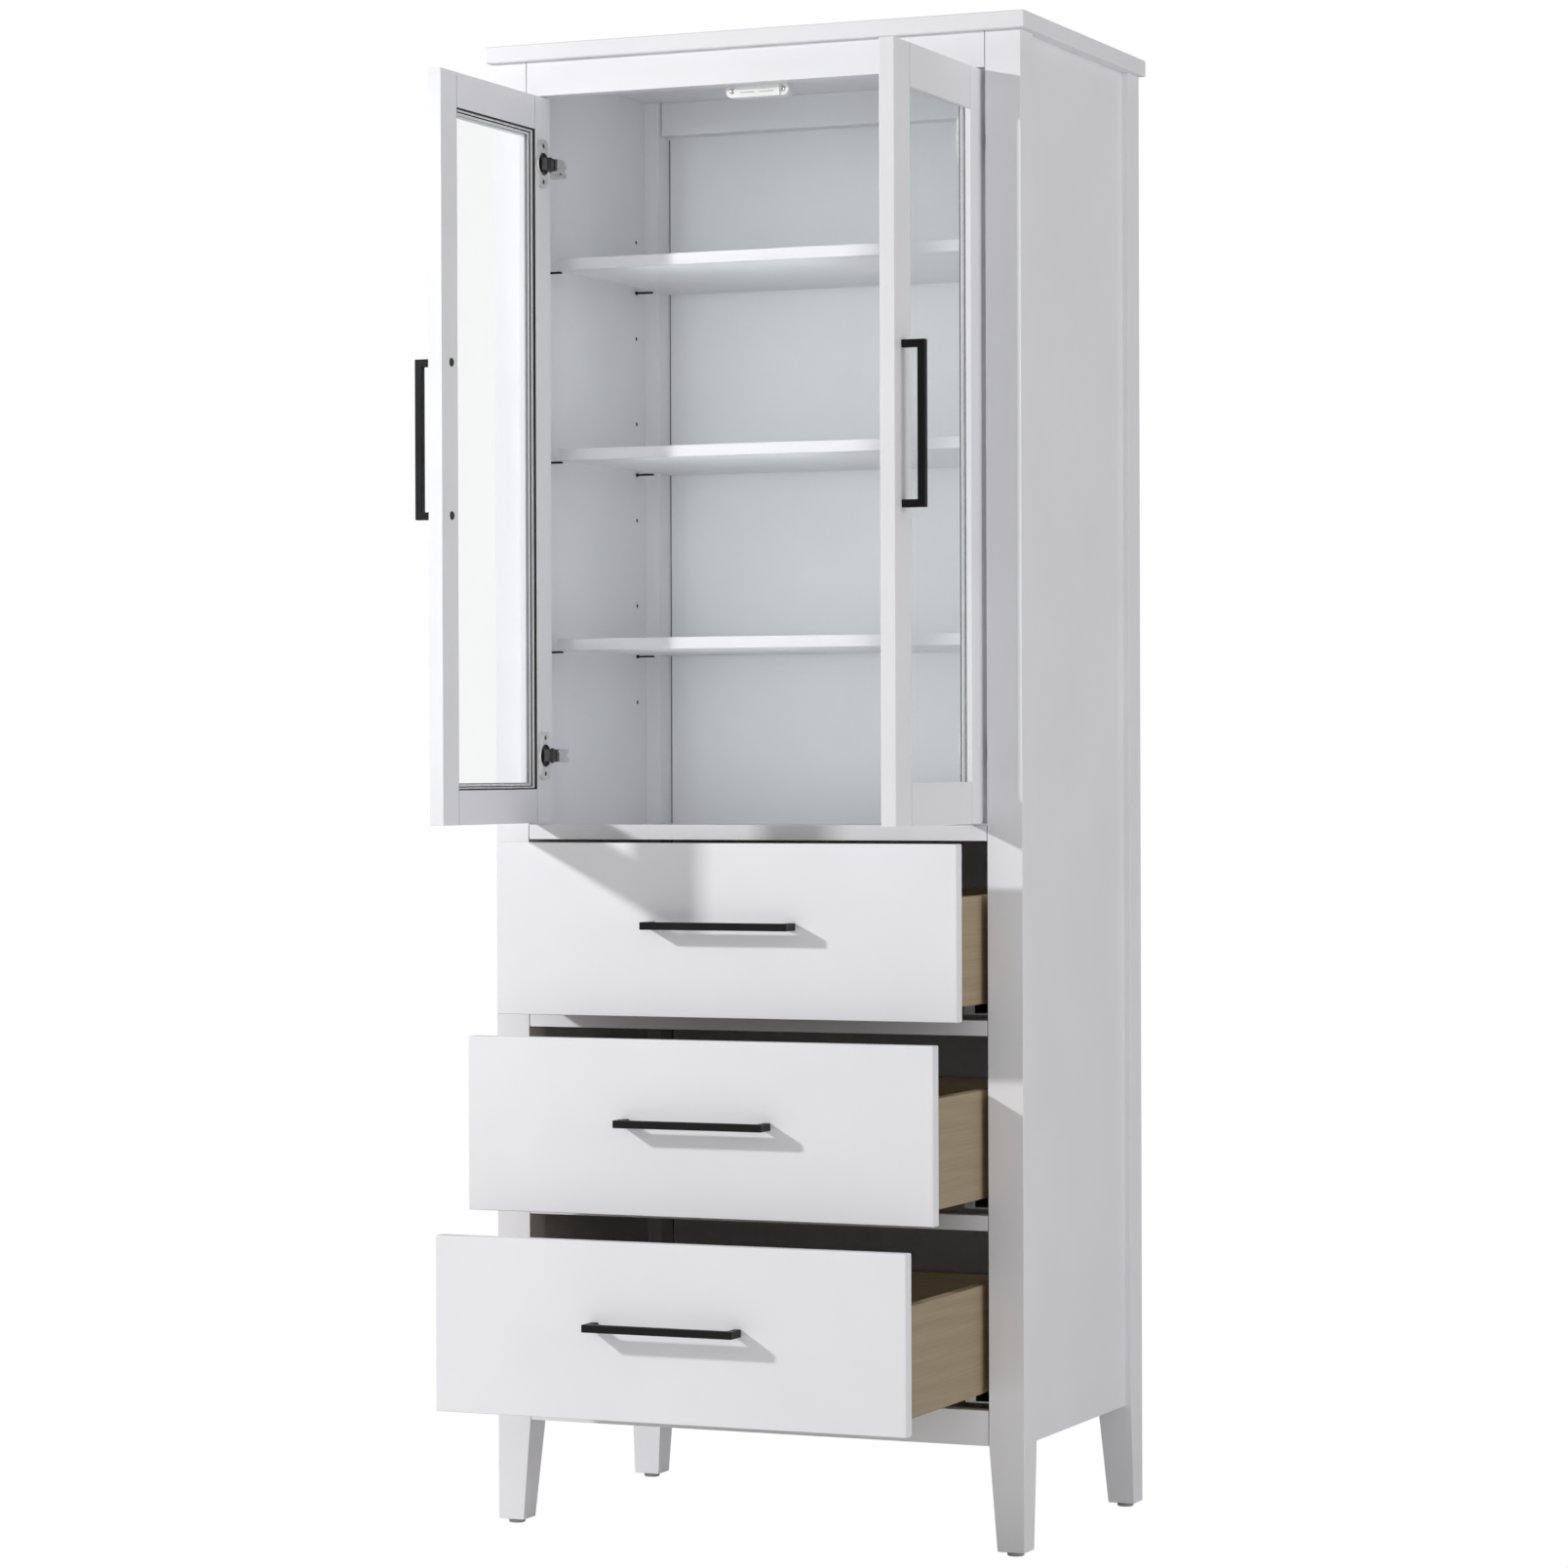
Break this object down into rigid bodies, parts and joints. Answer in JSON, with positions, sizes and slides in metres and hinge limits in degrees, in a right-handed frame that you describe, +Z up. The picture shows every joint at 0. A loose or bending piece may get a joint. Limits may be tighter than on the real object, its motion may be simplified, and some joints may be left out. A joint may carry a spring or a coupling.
{
  "type": "storage cabinet",
  "caption": "Tall white storage cabinet on tapered legs: a pair of glazed doors over shelves, with drawers on runners below and square bar handles.",
  "frame": {"origin": "on the floor, under the middle of the bounding box of the cabinet as stored, with its doors open at a right angle and its drawers drawn out", "axes": "+Z up, along the height; -Y out of the front, where the doors and drawers are; +X to the cabinet's right-hand side as seen from the front"},
  "size_m": [0.624, 0.649, 1.612],
  "materials": {
    "white_paint": "satin white lacquer over wood and board",
    "black_metal": "satin black powder coat",
    "pale_wood": "clear-coated light wood",
    "clear_glass": "clear flat glass",
    "grey_bead": "translucent grey glazing bead",
    "nickel": "nickel-plated steel",
    "zinc": "zinc-plated steel",
    "white_plastic": "white moulded plastic",
    "glide_plastic": "grey moulded plastic"
  },
  "bodies": {
    "cabinet": {"top_board": "white_paint", "post_front_left": "white_paint", "post_front_right": "white_paint", "post_rear_left": "white_paint", "post_rear_right": "white_paint", "side_panel_left": "white_paint", "side_panel_right": "white_paint", "back_panel": "white_paint", "rail_top": "white_paint", "rail_under_doors": "white_paint", "rail_drawers_upper": "white_paint", "rail_drawers_lower": "white_paint", "rail_bottom": "white_paint", "back_rail_top": "white_paint", "back_rail_bottom": "white_paint", "floor_panel": "white_paint", "bottom_panel": "white_paint", "shelf_1": "white_paint", "shelf_2": "white_paint", "shelf_3": "white_paint", "magnetic_catch": "white_plastic", "glide_front_left": "glide_plastic", "glide_front_right": "glide_plastic", "glide_rear_left": "glide_plastic", "glide_rear_right": "glide_plastic", "runner_1_left": "zinc", "runner_1_right": "zinc", "runner_2_left": "zinc", "runner_2_right": "zinc", "runner_3_left": "zinc", "runner_3_right": "zinc", "hinge_arm_left_upper": "nickel", "hinge_arm_left_lower": "nickel", "hinge_arm_right_upper": "nickel", "hinge_arm_right_lower": "nickel"},
    "door_left": {"door_left_frame": "white_paint", "door_left_glass": "clear_glass", "door_left_bead": "grey_bead", "door_left_handle": "black_metal", "hinge_cup_left_upper": "nickel", "hinge_cup_left_lower": "nickel"},
    "door_right": {"door_right_frame": "white_paint", "door_right_glass": "clear_glass", "door_right_bead": "grey_bead", "door_right_handle": "black_metal", "hinge_cup_right_upper": "nickel", "hinge_cup_right_lower": "nickel"},
    "drawer_1": {"drawer_1_front": "white_paint", "drawer_1_box": "pale_wood", "drawer_1_bottom": "pale_wood", "drawer_1_handle": "black_metal"},
    "drawer_2": {"drawer_2_front": "white_paint", "drawer_2_box": "pale_wood", "drawer_2_bottom": "pale_wood", "drawer_2_handle": "black_metal"},
    "drawer_3": {"drawer_3_front": "white_paint", "drawer_3_box": "pale_wood", "drawer_3_bottom": "pale_wood", "drawer_3_handle": "black_metal"}
  },
  "joints": [
    {"name": "door_left_hinge", "type": "hinge", "parent": "cabinet", "child": "door_left", "pos_m": [-0.2545, -0.0615, 1.16], "axis": [0, 0, -1], "range_deg": [-90, 20]},
    {"name": "door_right_hinge", "type": "hinge", "parent": "cabinet", "child": "door_right", "pos_m": [0.2545, -0.0615, 1.16], "axis": [0, 0, 1], "range_deg": [-90, 20]},
    {"name": "drawer_1_slide", "type": "slide", "parent": "cabinet", "child": "drawer_1", "axis": [0, -1, 0], "range_m": [-0.085, 0.195]},
    {"name": "drawer_2_slide", "type": "slide", "parent": "cabinet", "child": "drawer_2", "axis": [0, -1, 0], "range_m": [-0.154, 0.126]},
    {"name": "drawer_3_slide", "type": "slide", "parent": "cabinet", "child": "drawer_3", "axis": [0, -1, 0], "range_m": [-0.232, 0.048]}
  ]
}
